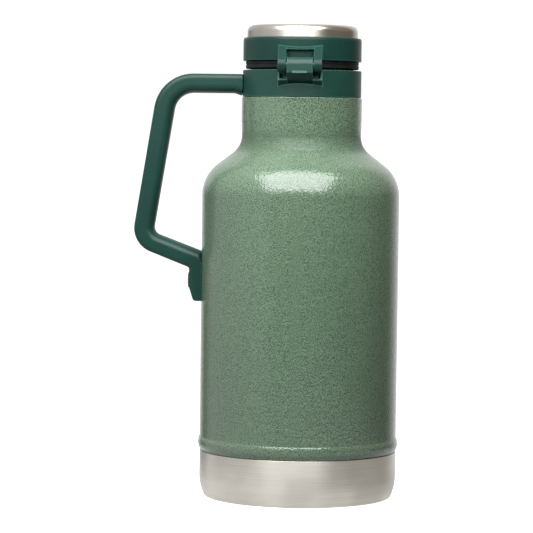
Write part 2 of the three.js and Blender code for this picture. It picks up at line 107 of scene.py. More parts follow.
RING_R = radius_of("lid_ring")
RING_BORE_R = 33.9
RING_LOW = 264.9
RING_HIGH = cad("lid_ring")[1].z
RING_FLOOR = 267.4               # top of the ring's inner flange
RING_FLANGE_R = 18.0

CAP_R = radius_of("lid_cap")
CAP_WALL = 0.8
CAP_LOW = cad("lid_cap")[0].z
CAP_EDGE_R = 3.8
CAP_CROWN = 0.6                  # how far the top domes up

JOINTS = {j["name"]: Vector(j["pos_m"]) / MM for j in frame["joints"]}
HINGE = JOINTS["lid_hinge"]
LEVER = JOINTS["latch_lever"]
BAIL = JOINTS["latch_bail"]
HINGE_R = 4.5                    # outside of the knuckle and of the lid's legs
KNUCKLE_HALF = 7.75
LEG_IN = 8.15                    # the lid bracket's two legs, along X
LEG_OUT = 13.15
SILL_OUT = 13.1
PIN_R = 1.5
HINGE_PIN_HALF = 13.3            # half of the pin's length
LEVER_PIN_HALF = 8.1

HANDLE_HALF = 8.0                # half of the handle's width
FOOT_SCREW_Z = 131.3
FOOT_SCREW_R = 5.0
FOOT_SOCKET_HALF = 2.2           # half of the hexagon's width
FOOT_FACE_X = -67.3

LUG_HALF = 5.5
LEVER_HUB_R = 3.2
CHEEK_IN = 6.0
CHEEK_OUT = 7.8
WIRE_R = 1.1
BAIL_HALF = 9.4
BAIL_DROP = 26.6
KEEPER_HALF = 5.0

FINE_TURN = 192                  # steps round the large turned pieces
INNER_TURN = 128                 # steps round the ones that show only with the lid open

WELD = 1e-3                      # points nearer than this are one
SHARP_ANGLE = math.radians(32)   # edges sharper than this aren't shaded smooth

# ---------- Outlines ----------


def arc(x, y, radius, start, end, steps=10):
    """Points along an arc about (x, y), both ends included; angles in degrees."""
    points = []
    for i in range(steps + 1):
        angle = math.radians(start + (end - start) * i / steps)
        points.append((x + radius * math.cos(angle), y + radius * math.sin(angle)))
    return points


def ellipse(x, y, across, up, start, end, steps=10):
    """Points along part of an ellipse about (x, y)."""
    return [(x + across * c, y + up * s) for c, s in arc(0, 0, 1, start, end, steps)]


def corner_arc(before, corner, after, radius, steps):
    """The arc of that radius that rounds one corner of an outline."""
    corner = Vector(corner)
    back = (Vector(before) - corner).normalized()
    ahead = (Vector(after) - corner).normalized()
    half = back.angle(ahead) / 2
    centre = corner + (back + ahead).normalized() * (radius / math.sin(half))
    start = corner + back * (radius / math.tan(half)) - centre
    end = corner + ahead * (radius / math.tan(half)) - centre
    first = math.atan2(start.y, start.x)
    turn = math.atan2(end.y, end.x) - first
    turn = math.atan2(math.sin(turn), math.cos(turn))
    return arc(centre.x, centre.y, radius, math.degrees(first), math.degrees(first + turn), steps)


def rounded(corners, steps=6):
    """A closed outline through (x, y) or (x, y, radius) corners."""
    points = []
    count = len(corners)
    for i, corner in enumerate(corners):
        if len(corner) < 3 or corner[2] == 0:
            points.append(tuple(corner[:2]))
            continue
        before = corners[i - 1][:2]
        after = corners[(i + 1) % count][:2]
        points += corner_arc(before, corner[:2], after, corner[2], steps)
    return points


def pieces_of_path(corners, steps=12):
    """An open path through (x, y, radius) corners as a list of its straight and round stretches."""
    stretches = []
    at = Vector(corners[0][:2])
    for i in range(1, len(corners) - 1):
        x, y, radius = corners[i]
        bend = corner_arc(corners[i - 1][:2], (x, y), corners[i + 1][:2], radius, steps)
        stretches.append([at, Vector(bend[0])])
        stretches.append([Vector(p) for p in bend])
        at = Vector(bend[-1])
    stretches.append([at, Vector(corners[-1][:2])])
    return stretches


def along(points, count):
    """count + 1 points evenly spaced along a polyline."""
    lengths = [0.0]
    for a, b in zip(points, points[1:]):
        lengths.append(lengths[-1] + (b - a).length)
    total = lengths[-1]
    found = []
    for i in range(count + 1):
        target = total * i / count
        k = max(j for j in range(len(points)) if lengths[j] <= target + 1e-9)
        k = min(k, len(points) - 2)
        span = lengths[k + 1] - lengths[k]
        found.append(points[k].lerp(points[k + 1], (target - lengths[k]) / span if span else 0))
    return found


# ---------- Meshes ----------


def finish_mesh(bm, name):
    """A bmesh in millimetres as a smooth-shaded mesh in metres."""
    bmesh.ops.remove_doubles(bm, verts=bm.verts, dist=WELD)
    bmesh.ops.recalc_face_normals(bm, faces=bm.faces)
    bmesh.ops.scale(bm, vec=(MM, MM, MM), verts=bm.verts)
    mesh = bpy.data.meshes.new(name)
    bm.to_mesh(mesh)
    bm.free()
    mesh.shade_smooth()
    mesh.set_sharp_from_angle(angle=SHARP_ANGLE)
    return mesh


def turned(bm, profile, segments=FINE_TURN):
    """Adds a closed profile of (radius, height) points turned about Z."""
    rings = []
    for i in range(segments):
        angle = 2 * math.pi * i / segments
        c, s = math.cos(angle), math.sin(angle)
        rings.append([bm.verts.new((r * c, r * s, z)) for r, z in profile])
    count = len(profile)
    for i in range(segments):
        here, there = rings[i], rings[(i + 1) % segments]
        for k in range(count):
            n = (k + 1) % count
            on_axis = profile[k][0] < 1e-6, profile[n][0] < 1e-6
            if all(on_axis):
                continue
            if on_axis[0]:
                bm.faces.new((here[k], there[n], here[n]))
            elif on_axis[1]:
                bm.faces.new((here[k], there[k], here[n]))
            else:
                bm.faces.new((here[k], there[k], there[n], here[n]))


def loft(bm, loops):
    """Adds a closed skin over loops of equally many points, each a list of (x, y, z)."""
    rows = [[bm.verts.new(p) for p in loop] for loop in loops]
    count = len(rows[0])
    for here, there in zip(rows, rows[1:]):
        for k in range(count):
            n = (k + 1) % count
            bm.faces.new((here[k], here[n], there[n], there[k]))
    bm.faces.new(rows[0])
    bm.faces.new(list(reversed(rows[-1])))


def soften(bm, width):
    """Bevels the sharp edges."""
    limit = math.radians(30)
    sharp = [e for e in bm.edges if len(e.link_faces) == 2 and e.calc_face_angle(0) > limit]
    bmesh.ops.bevel(
        bm,
        geom=sharp,
        offset=width,
        offset_type="OFFSET",
        segments=3,
        profile=0.5,
        affect="EDGES",
        clamp_overlap=True,
    )


def side_shape(bm, outline_at, x0, x1, edge, steps):
    """Adds a solid from x0 to x1 whose side outline of (y, z) points is outline_at(x)."""
    own = bmesh.new()
    loops = []
    for i in range(steps + 1):
        x = x0 + (x1 - x0) * i / steps
        loops.append([(x, y, z) for y, z in outline_at(x)])
    loft(own, loops)
    bmesh.ops.recalc_face_normals(own, faces=own.faces)
    soften(own, edge)
    spare = bpy.data.meshes.new("spare")
    own.to_mesh(spare)
    own.free()
    bm.from_mesh(spare)
    bpy.data.meshes.remove(spare)


def side_plate(bm, outline, x0, x1, edge=0.3):
    """Adds a plate with one side outline all the way, and softened edges."""
    side_shape(bm, lambda x: outline, x0, x1, edge, 1)


def circles_x(profile, y, z, segments=48):
    """Circles round a line parallel to X, one for each (x, radius) of a profile."""
    loops = []
    for x, radius in profile:
        loops.append([(x, cy, cz) for cy, cz in arc(y, z, radius, 0, 360, segments)[:-1]])
    return loops


def hexagon_x(x, y, z, half_width, segments=48):
    """A hexagon round the same line, with as many points as a circle."""
    loop = []
    for i in range(segments):
        angle = 2 * math.pi * i / segments
        reach = half_width / math.cos(angle % (math.pi / 3) - math.pi / 6)
        loop.append((x, y + reach * math.cos(angle), z + reach * math.sin(angle)))
    return loop


def put(name, bm, material, body, slot, *nodes):
    """Makes one piece with its material, on the body it rides on, and hides the CAD nodes it stands for.
    """
    mesh = finish_mesh(bm, name)
    piece = bpy.data.objects.new(name, mesh)
    bpy.context.scene.collection.objects.link(piece)
    mesh.materials.append(material)
    weighted = piece.modifiers.new("weighted", "WEIGHTED_NORMAL")
    weighted.keep_sharp = True
    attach(piece, body)
    if nodes:
        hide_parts(*nodes)
    return piece


# ---------- Material helpers ----------


class Nodes:
    """A short way to write a material's node tree."""

    def __init__(self, name):
        self.material = bpy.data.materials.new(name)
        self.material.use_nodes = True
        self.tree = self.material.node_tree
        self.shader = self.tree.nodes["Principled BSDF"]

    def add(self, kind, **settings):
        node = self.tree.nodes.new(kind)
        for key, value in settings.items():
            setattr(node, key, value)
        return node

    def give(self, socket, value):
        """Links a socket to an output, or sets it to a value."""
        if isinstance(value, bpy.types.NodeSocket):
            self.tree.links.new(value, socket)
        else:
            socket.default_value = value

    def feed(self, node, **inputs):
        """Links or sets inputs by name; an underscore stands for a space."""
        for key, value in inputs.items():
            self.give(node.inputs[key.replace("_", " ")], value)

    def shade(self, **inputs):
        self.feed(self.shader, **inputs)

    def place(self, scale=(1, 1, 1)):
        """Where a point is on its piece, stretched by scale."""
        coordinates = self.add("ShaderNodeTexCoord")
        mapping = self.add("ShaderNodeMapping")
        self.feed(mapping, Vector=coordinates.outputs["Object"], Scale=scale)
        return mapping.outputs["Vector"]

    def noise(self, vector, scale, detail=3.0, roughness=0.5):
        """Noise with about scale grains a metre."""
        node = self.add("ShaderNodeTexNoise")
        self.feed(node, Vector=vector, Scale=scale, Detail=detail, Roughness=roughness)
        return node.outputs["Fac"]

    def cells(self, vector, scale, smoothness=0.8):
        """Distance to the middle of rounded cells, about scale of them a metre."""
        node = self.add("ShaderNodeTexVoronoi", feature="SMOOTH_F1")
        self.feed(node, Vector=vector, Scale=scale, Smoothness=smoothness)
        return node.outputs["Distance"]

    def spread(self, value, low, high, to_low=0.0, to_high=1.0):
        """A value eased from to_low to to_high as it goes from low to high."""
        node = self.add("ShaderNodeMapRange", interpolation_type="SMOOTHSTEP")
        self.feed(node, Value=value, From_Min=low, From_Max=high, To_Min=to_low, To_Max=to_high)
        return node.outputs["Result"]

    def worked_out(self, operation, a, b):
        """The result of a Math node."""
        node = self.add("ShaderNodeMath", operation=operation)
        self.give(node.inputs[0], a)
        self.give(node.inputs[1], b)
        return node.outputs["Value"]

    def sum(self, a, b):
        return self.worked_out("ADD", a, b)

    def product(self, a, b):
        return self.worked_out("MULTIPLY", a, b)

    def mix(self, share, a, b):
        """One colour fading into another as share goes from 0 to 1."""
        node = self.add("ShaderNodeMix", data_type="RGBA")
        self.give(node.inputs["Factor"], share)
        colours = [s for s in node.inputs if s.type == "RGBA"]
        for socket, value in zip(colours, (a, b)):
            self.give(socket, value if isinstance(value, bpy.types.NodeSocket) else (*value, 1))
        return next(s for s in node.outputs if s.type == "RGBA")

    def bump(self, height, depth, only=None):
        """A bump where a height of 1 is depth millimetres, on the base, the clear coat or both."""
        node = self.add("ShaderNodeBump")
        self.feed(node, Height=height, Distance=depth * MM)
        for name in ("Normal", "Coat Normal"):
            if only in (None, name):
                self.tree.links.new(node.outputs["Normal"], self.shader.inputs[name])

    def edges(self, radius):
        """1 along the piece's edges, fading to 0 within radius millimetres."""
        rounded = self.add("ShaderNodeBevel", samples=6)
        self.feed(rounded, Radius=radius * MM)
        surface = self.add("ShaderNodeNewGeometry")
        agree = self.add("ShaderNodeVectorMath", operation="DOT_PRODUCT")
        self.tree.links.new(rounded.outputs["Normal"], agree.inputs[0])
        self.tree.links.new(surface.outputs["Normal"], agree.inputs[1])
        return self.spread(agree.outputs["Value"], 0.94, 0.998, 1.0, 0.0)


# ---------- Materials ----------


def outside_shaded_hollow(m):
    """0 in the hollow at the neck's foot, where the enamel's coat is thin and dull and its colour is
    darkened as painted shade, and 1 elsewhere.
    """
    coordinates = m.add("ShaderNodeTexCoord")
    parts = m.add("ShaderNodeSeparateXYZ")
    m.feed(parts, Vector=coordinates.outputs["Object"])
    below = m.spread(parts.outputs["Z"], HOLLOW_LOW * MM, HOLLOW_MIDDLE * MM, 1.0, 0.0)
    above = m.spread(parts.outputs["Z"], HOLLOW_MIDDLE * MM, HOLLOW_HIGH * MM)
    return m.sum(below, above)


def hammered_paint():
    """Hammer-tone enamel: a dimpled clear gloss over lighter islands with darker pits between them, the
    pits' dark partly the enamel's own tone and partly painted shade in the bump's low spots.
    """
    m = Nodes("hammered_paint")
    where = m.place()
    ripple = m.noise(where, 1800, detail=0.3)
    dimples = m.cells(where, 560, smoothness=0.6)
    swell = m.noise(where, 640, detail=1.0)
    patches = m.noise(where, 60, detail=2.0)
    # The pits are dark where the ripple bump is low: partly the enamel's mottled tone, partly painted
    # shade.
    pits = m.spread(ripple, 0.38, 0.54)
    glossy = outside_shaded_hollow(m)
    open_light = m.mix(patches, (0.142, 0.221, 0.144), (0.127, 0.201, 0.129))
    # Inside the hollow the colour is darkened as painted shade.
    light = m.mix(glossy, (0.104, 0.158, 0.105), open_light)
    m.shade(
        Base_Color=m.mix(pits, (0.058, 0.096, 0.061), light),
        Specular_IOR_Level=0.12,
        Roughness=m.spread(pits, 0, 1, 0.42, 0.36),
        Coat_Weight=m.spread(glossy, 0.0, 1.0, 0.10, 1.0),
        Coat_Roughness=0.10,
        Coat_IOR=1.63,
    )
    m.bump(m.sum(ripple, swell), 0.24, only="Normal")
    m.bump(m.sum(dimples, m.product(ripple, 0.5)), 0.13, only="Coat Normal")
    return m.material


def brushed_steel(name, turn, tint=(0.66, 0.635, 0.595), blur=0.34, stretch=0.75):
    """Stainless steel brushed in fine lines: round the piece, or straight across it."""
    m = Nodes(name)
    fine = m.place((18, 18, 2600) if turn else (60, 2400, 2400))
    broad = m.place((6, 6, 90) if turn else (30, 200, 200))
    lines = m.noise(fine, 1.0, detail=4.0, roughness=0.65)
    bands = m.noise(broad, 1.0, detail=2.0)
    clouds = m.noise(m.place(), 28, detail=2.0)
    dark = tuple(0.72 * c for c in tint)
    worn = m.sum(m.product(lines, 0.45), m.product(clouds, 0.75))
    m.shade(
        Base_Color=m.mix(m.spread(worn, 0.4, 0.8), tint, dark),
        Metallic=1.0,
        Roughness=m.spread(m.product(bands, clouds), 0.1, 0.45, blur - 0.05, blur + 0.06),
        Anisotropic=stretch,
        Anisotropic_Rotation=0.25,
    )
    tangent = m.add("ShaderNodeTangent", direction_type="RADIAL", axis="Z" if turn else "X")
    m.feed(m.shader, Tangent=tangent.outputs["Tangent"])
    m.bump(lines, 0.004)
    return m.material


def plain_steel(name, bright=(0.60, 0.59, 0.57), dull=(0.50, 0.49, 0.47)):
    """Smooth drawn steel with faint marks and uneven gloss."""
    m = Nodes(name)
    where = m.place()
    marks = m.noise(where, 420, detail=5.0, roughness=0.6)
    clouds = m.noise(where, 40, detail=2.0)
    m.shade(
        Base_Color=m.mix(clouds, bright, dull),
        Metallic=1.0,
        Roughness=m.spread(marks, 0.3, 0.7, 0.20, 0.32),
    )
    m.bump(marks, 0.004)
    return m.material


def green_plastic(name, colour, gloss, shine):
    """Dark green moulded plastic with a painted highlight along its edges: gloss is its lowest roughness
    and shine its specular level."""
    m = Nodes(name)
    where = m.place()
    grain = m.noise(where, 2600, detail=3.0, roughness=0.6)
    flow = m.noise(where, 35, detail=3.0)
    deep = tuple(0.82 * c for c in colour)
    painted_edge_highlight = tuple(3.0 * c for c in colour)
    moulded = m.mix(m.spread(flow, 0.35, 0.65), colour, deep)
    m.shade(
        # Along the edges the colour is lightened as a painted highlight.
        Base_Color=m.mix(m.edges(0.80), moulded, painted_edge_highlight),
        Roughness=m.spread(m.sum(grain, flow), 0.7, 1.3, gloss, gloss + 0.08),
        Specular_IOR_Level=shine,
    )
    m.bump(grain, 0.010)
    return m.material


def black_rubber():
    """Matt silicone with a fine dusty bloom."""
    m = Nodes("black_rubber")
    where = m.place()
    dust = m.noise(where, 900, detail=4.0)
    bloom = m.noise(where, 90, detail=2.0)
    m.shade(
        Base_Color=m.mix(m.spread(bloom, 0.35, 0.7), (0.0045, 0.0045, 0.005), (0.010, 0.010, 0.011)),
        Roughness=m.spread(dust, 0.3, 0.7, 0.50, 0.66),
        Specular_IOR_Level=0.2,
    )
    m.bump(dust, 0.015)
    return m.material


def black_plastic():
    """Smooth black moulding under the lid."""
    m = Nodes("black_plastic")
    where = m.place()
    grain = m.noise(where, 1500, detail=3.0)
    flow = m.noise(where, 50, detail=2.0)
    m.shade(
        Base_Color=m.mix(flow, (0.012, 0.012, 0.013), (0.020, 0.020, 0.021)),
        Roughness=m.spread(grain, 0.3, 0.7, 0.34, 0.46),
    )
    m.bump(grain, 0.008)
    return m.material


def foam():
    """Closed-cell foam."""
    m = Nodes("foam")
    bubbles = m.cells(m.place(), 900)
    m.shade(
        Base_Color=m.mix(bubbles, (0.74, 0.71, 0.64), (0.58, 0.55, 0.49)),
        Roughness=0.92,
    )
    m.bump(bubbles, 0.2)
    return m.material


PAINT = hammered_paint()
CAP_STEEL = brushed_steel("brushed_steel", turn=True, tint=(0.70, 0.665, 0.60), stretch=0.55)
BASE_STEEL = brushed_steel(
    "brushed_base_steel",
    turn=True,
    tint=(0.765, 0.73, 0.66),
    blur=0.38,
    stretch=0.83,
)
SHEET_STEEL = brushed_steel("latch_steel", turn=False, blur=0.28)
PLAIN_STEEL = plain_steel("plain_steel")
# The pins' steel is darkened as painted shade, for the shade the hinge pin sits in between the legs.
PIN_STEEL = plain_steel("pin_steel", (0.26, 0.25, 0.24), (0.16, 0.155, 0.15))
# The ring, the collar and the grip are one green plastic; their colours differ only as painted light and
# shade, the ring's the darkest.
RING_GREEN = green_plastic("green_ring_plastic", (0.0070, 0.0370, 0.0285), 0.30, 0.22)
COLLAR_GREEN = green_plastic("green_collar_plastic", (0.0092, 0.0480, 0.0360), 0.34, 0.34)
GRIP_GREEN = green_plastic("green_grip_plastic", (0.0080, 0.0460, 0.0350), 0.32, 0.30)
RUBBER = black_rubber()
BLACK = black_plastic()
FOAM = foam()

# ---------- Bottle ----------


def shoulder(inset, neck_radius, fillet):
    """The shoulder's convex arc, its cone and the fillet up to the neck, moved in by inset."""
    radius = SHOULDER_R - inset
    turn = math.degrees(SHOULDER_TURN)
    convex = arc(BODY_R - SHOULDER_R, BODY_TOP, radius, 0, turn, 24)
    last = convex[-1]
    foot_z = last[1] + (last[0] - neck_radius) / math.tan(SHOULDER_TURN)
    corner = (neck_radius, foot_z)
    return convex + corner_arc(last, corner, (neck_radius, foot_z + 30), fillet, 10)


def outer_shell():
    """Painted shell with its rolled bead, and the skirt that goes down into the base cup."""
    wall = SHELL_WALL
    bead_half = (BEAD_HIGH - BEAD_LOW) / 2
    proud = BEAD_R - BODY_R
    bead_r = (bead_half ** 2 + proud ** 2) / (2 * proud)
    reach = math.degrees(math.asin(bead_half / bead_r))
    bead = arc(BEAD_R - bead_r, BEAD_LOW + bead_half, bead_r, -reach, reach * 0.94, 16)
    side_low = BEAD_HIGH + 0.8
    outside = [
        (SKIRT_R, SKIRT_LOW),
        (SKIRT_R, BASE_TOP + 0.3),
        (BODY_R - 0.3, BASE_TOP + 0.3),
        (BODY_R, BASE_TOP + 0.5),
        *bead,
        *[(BODY_R, side_low + (BODY_TOP - BEAD_HIGH) * i / 12) for i in range(12)],
        *shoulder(0, NECK_R, NECK_FILLET),
        (NECK_TOP_R, 229),
        *arc(NECK_TOP_R - 0.35, NECK_TOP - 0.35, 0.35, 0, 90, 4),
        (MOUTH_R + 0.3, NECK_TOP),
    ]
    inside = [
        (MOUTH_R + 0.3, NECK_TOP - wall),
        (NECK_TOP_R - wall, NECK_TOP - wall),
        *reversed(shoulder(wall, NECK_R - wall, NECK_FILLET)),
        (BODY_R - wall, BEAD_LOW + 1),
        (SKIRT_R - wall, BEAD_LOW + 1),
        (SKIRT_R - wall, SKIRT_LOW),
    ]
    bm = bmesh.new()
    turned(bm, outside + inside)
    return put("painted_shell", bm, PAINT, "bottle", "hammered_paint", "outer_shell")


def base_cup():
    """Cup with a flat foot, a long curved side and a stamped ring underneath."""
    side_r, side_z = 28.7, 13.0
    side_x = BASE_R - side_r
    foot_r = 2.5
    foot_x = side_x + math.sqrt((side_r - foot_r) ** 2 - (side_z - foot_r) ** 2)
    meet = math.degrees(math.atan2(foot_r - side_z, foot_x - side_x))
    stamp = 0.9
    sheet = 0.9
    bm = bmesh.new()
    turned(bm, [
        (0, 0),
        *rounded([(36, 0, 0.8), (37, stamp, 0.5), (39, stamp, 0.5), (40, 0, 0.8), (foot_x, 0)], 3)[:-1],
        *arc(foot_x, foot_r, foot_r, -90, meet, 8),
        *arc(side_x, side_z, side_r, meet, 0, 12)[1:],
        *arc(BASE_R - 0.25, BASE_TOP - 0.25, 0.25, 0, 90, 3),
        (BASE_R - BASE_WALL, BASE_TOP),
        *arc(side_x, side_z, side_r - BASE_WALL, 0, meet, 8),
        (foot_x, sheet),
        (0, sheet),
    ])
    return put("base_cup_brushed", bm, BASE_STEEL, "bottle", "brushed_steel", "base_cup")


def inner_liner():
    """Inner vessel, with its bare neck and rolled rim."""
    floor_edge = 8
    inset = BODY_R - LINER_R
    inner = LINER_R - LINER_WALL
    bm = bmesh.new()
    turned(bm, [
        (0, LINER_FLOOR),
        *arc(LINER_R - floor_edge, LINER_FLOOR + floor_edge, floor_edge, -90, 0, 8),
        *shoulder(inset, MOUTH_R, NECK_FILLET),
        *arc(MOUTH_R - 0.75, RIM_TOP - 0.75, 0.75, 0, 180, 10),
        (MOUTH_R - LINER_WALL, RIM_TOP - 1.7),
        *reversed(shoulder(inset + LINER_WALL, MOUTH_R - LINER_WALL, NECK_FILLET)),
        *arc(inner - floor_edge, LINER_FLOOR + LINER_WALL + floor_edge, floor_edge, 0, -90, 8),
        (0, LINER_FLOOR + LINER_WALL),
    ], INNER_TURN)
    return put("liner_and_rim", bm, PLAIN_STEEL, "bottle", "plain_steel", "inner_liner")


# ---------- Collar ----------

SLOPE = 0.63
SLOPE_LOW = 251.0                # where the sloped underside leaves the collar


def slope_z(y):
    """Height of the hinge block's sloped underside."""
    return SLOPE_LOW + SLOPE * (-COLLAR_R - y)


def collar():
    """Moulded collar with the hinge's block and the latch's keeper."""
    bm = bmesh.new()
    turned(bm, [
        (COLLAR_BORE_R, COLLAR_LOW),
        *arc(COLLAR_R - 0.3, COLLAR_LOW + 0.3, 0.3, -90, 0, 3),
        *arc(COLLAR_R - 0.6, COLLAR_HIGH - 0.6, 0.6, 0, 90, 6),
        (COLLAR_BORE_R, COLLAR_HIGH),
    ])
    hinge_knuckle(bm)
    hinge_sill(bm)
    latch_keeper(bm)
    return put("collar_moulded", bm, COLLAR_GREEN, "bottle", "green_plastic", "collar")


def hinge_knuckle(bm):
    """Knuckle round the pin, with the rib that stops the lid."""
    front, back = HINGE.y - HINGE_R, HINGE.y + HINGE_R
    outline = [
        (-34.5, slope_z(-34.5)),
        (front, slope_z(front)),
        *arc(HINGE.y, HINGE.z, HINGE_R, 180, 0, 28),
        (back, COLLAR_HIGH - 0.2),
        (-34.5, COLLAR_HIGH - 0.2),
    ]
    side_plate(bm, outline, -KNUCKLE_HALF, KNUCKLE_HALF, 0.3)
    rib = [
        (front + 0.5, 256.8),
        (front - 0.8, 256.9),
        (front - 0.8, 257.2),
        (front - 0.4, 257.85),
        (front + 0.5, 258.2),
    ]
    side_plate(bm, rib, -4.1, 4.1, 0.1)


def hinge_sill(bm):
    """Thin sill along the block's slope, with a web at each end."""
    lip = -38.9
    inside = -32.6
    sill = [
        (inside, slope_z(inside)),
        (lip, slope_z(lip)),
        (lip + 0.5, slope_z(lip) + 0.9),
        (inside, 254.6),
    ]
    side_plate(bm, sill, -SILL_OUT, SILL_OUT, 0.15)
    web = [
        (inside, slope_z(inside)),
        (lip, slope_z(lip)),
        (-38, 256),
        (-36.5, 258),
        (inside, 258),
    ]
    for side in (-1, 1):
        side_plate(bm, web, side * (SILL_OUT - 0.9), side * SILL_OUT, 0.2)


def latch_keeper(bm):
    """Hooked lip that the bail's bar goes under."""
    under = 249.4
    outline = [
        (34, under - 2.6),
        (36.6, under),
        (40.2, under),
        (40.3, under - 0.4),
        (41.1, under - 0.4),
        (41.3, under + 1.2),
        (39, under + 4),
        (34, under + 5.4),
    ]
    side_plate(bm, outline, -KEEPER_HALF, KEEPER_HALF, 0.25)


# ---------- Handle ----------

# Outer and finger-side paths of the handle in the XZ plane, as (x, z, corner radius).
HANDLE_OUTER = [
    (-37.2, 256.9, 0),
    (-86.2, 256.9, 24),
    (-102.88, 152.9, 15.5),
    (FOOT_FACE_X, 139, 1.6),
    (FOOT_FACE_X, 127.2, 2.8),
    (-64.6, 118.7, 2),
    (-60.2, 118.7, 0),
]
HANDLE_INNER = [
    (-37.2, 243.9, 0),
    (-40.6, 245.2, 6),
    (-75.7, 245.2, 11.8),
    (-89.5, 160.2, 5),
    (-59.6, 149, 0),
]
END_GAP = 0.35                   # between the handle's end and the collar
END_ROUND = 0.6                  # rounding of that end
FOOT_GAP = 0.04                  # between the foot and the body
FOOT_HIGH = 160.0                # below this the handle follows the body
FOOT_SOFT = 0.03                 # how round the foot's body side is, against the grip's 1
OUTER_EDGE = 2.8                 # radius of the outer edges
SOFT_IN = 5.2                    # the finger side's rounding, inwards
SOFT_ACROSS = 7.2                # and across the handle


def handle_section(outer, inner, roundness=1.0, inset=0.0):
    """One closed section from an outer to an inner point: tight outer edges, a soft finger side."""
    outer, inner = Vector(outer), Vector(inner)
    width = (inner - outer).length
    across = (inner - outer) / width
    half = HANDLE_HALF - inset
    edge = min(OUTER_EDGE, 0.4 * width)
    soft = max(0.3, min(SOFT_IN, 0.42 * width) * roundness)
    deep = max(0.3, SOFT_ACROSS * roundness)
    near_outer = [(edge - edge * math.cos(t), half - edge + edge * math.sin(t)) for t in quarter(7)]
    near_inner = [
        (width - soft + soft * math.sin(t), half - deep + deep * math.cos(t)) for t in quarter(11)
    ]
    flat = [(edge + (width - soft - edge) * i / 4, half) for i in range(1, 4)]
    one_side = near_outer + flat + near_inner
    loop = one_side + [(t, -y) for t, y in reversed(one_side)]
    centre = width / 2
    points = []
    for t, y in loop:
        t = centre + (t - centre) * (1 - 2 * inset / width)
        at = outer + across * t
        points.append((at.x, -y, at.y))
    return points


def quarter(steps):
    """Angles over a quarter turn."""
    return [math.pi / 2 * i / steps for i in range(steps + 1)]


def outside_of(loop, radius):
    """Moves the points of a loop that lie inside a cylinder about Z out onto it."""
    moved = []
    for x, y, z in loop:
        away = math.hypot(x, y)
        grow = max(1.0, radius / away)
        moved.append((x * grow, y * grow, z))
    return moved


def collar_end_loops():
    """The rounded end of the handle, following the collar's curve."""
    loops = []
    for i in range(5):
        turn = math.pi / 2 * i / 4
        gap = END_GAP + END_ROUND * (1 - math.cos(turn))
        inset = END_ROUND * (1 - math.sin(turn))
        section = handle_section(HANDLE_OUTER[0][:2], HANDLE_INNER[0][:2], 1.0, inset)
        reach = COLLAR_R + gap
        loops.append([(-math.sqrt(reach ** 2 - y ** 2), y, z) for _, y, z in section])
    return loops


def grip_loops(outer, inner):
    """Sections along the top bar, the grip and the lower arm."""
    under_bar = inner[0] + inner[1][1:] + inner[2][1:]
    pairs = []
    for a, b, count in (
        (outer[0], under_bar, 26),
        (outer[1], inner[3], 18),
        (outer[2], inner[4], 20),
        (outer[3], inner[5], 14),
        (outer[4], inner[6], 16),
    ):
        pairs += list(zip(along(a, count), along(b, count)))[:-1]
    return [handle_section(a, b) for a, b in pairs[1:]]


def foot_loops(outer, arm_end):
    """Sections round the corner under the lower arm, and down the foot."""
    loops = []
    corner = along(outer[5], 8)
    low = corner[-1].y - 0.6
    for i, a in enumerate(corner):
        share = i / 8
        b = Vector((arm_end.x, arm_end.y + (low - arm_end.y) * share))
        square = min(1, share * 1.6)  # the body side is square before the corner ends
        loops.append(handle_section(a, b, 1 - (1 - FOOT_SOFT) * square))
    for stretch, count in zip(outer[6:10], (8, 6, 5, 8)):
        for a in along(stretch, count)[1:]:
            loops.append(handle_section(a, (arm_end.x, a.y), FOOT_SOFT))
    return loops


def handle():
    """C-shaped handle, from the collar round to its foot on the body."""
    outer = pieces_of_path(HANDLE_OUTER)
    inner = pieces_of_path(HANDLE_INNER)
    loops = collar_end_loops() + grip_loops(outer, inner) + foot_loops(outer, inner[6][-1])
    bm = bmesh.new()
    loft(bm, [outside_of(p, BODY_R + FOOT_GAP) if p[0][2] < FOOT_HIGH else p for p in loops])
    return put("handle_moulded", bm, GRIP_GREEN, "bottle", "green_plastic", "handle")


def foot_screw():
    """Domed screw in the handle's foot, with a hexagon socket."""
    face, rim = FOOT_FACE_X, FOOT_SCREW_R
    dome = [
        (face + 0.6, rim),
        (face - 0.1, rim),
        *[(face - 0.1 - 0.7 * math.sin(t), rim - 1.4 + 1.4 * math.cos(t)) for t in quarter(7)],
        (face - 0.8, 2.9),
    ]
    loops = circles_x(dome, 0, FOOT_SCREW_Z)
    for x in (face - 0.75, face + 0.4):
        loops.append(hexagon_x(x, 0, FOOT_SCREW_Z, FOOT_SOCKET_HALF))
    bm = bmesh.new()
    loft(bm, loops)
    return put("handle_foot_screw_domed", bm, GRIP_GREEN, "bottle", "green_plastic", "handle_foot_screw")


# ---------- Lid ----------

BAR_R = 38.4                     # crest of the hinge bracket, from the lid's axis
BRACKET_HIGH = 272.5             # where the bracket's sloped top leaves the ring


def bracket_top_z(y):
    """Height of the bracket's sloped top."""
    return BRACKET_HIGH + 0.5 * (y + RING_R)


def crest(x):
    """The bracket's crest follows the ring's curve."""
    y = -math.sqrt(BAR_R ** 2 - x ** 2)
    return y, bracket_top_z(y)


def leg_outline(x):
    """Side outline of the bracket's leg: crest, straight face, round the pin and back to the ring."""
    y, z = crest(x)
    away = math.hypot(y - HINGE.y, z - HINGE.z)
    lean = math.degrees(math.atan2(z - HINGE.z, y - HINGE.y) + math.acos(HINGE_R / away))
    inside = -math.sqrt((RING_R - 1.2) ** 2 - x ** 2)
    return [
        (inside, bracket_top_z(inside)),
        (y, z),
        *arc(HINGE.y, HINGE.z, HINGE_R, lean, 360, 30),
        (HINGE.y + HINGE_R, RING_LOW + 0.25),
        (inside, RING_LOW + 0.25),
    ]


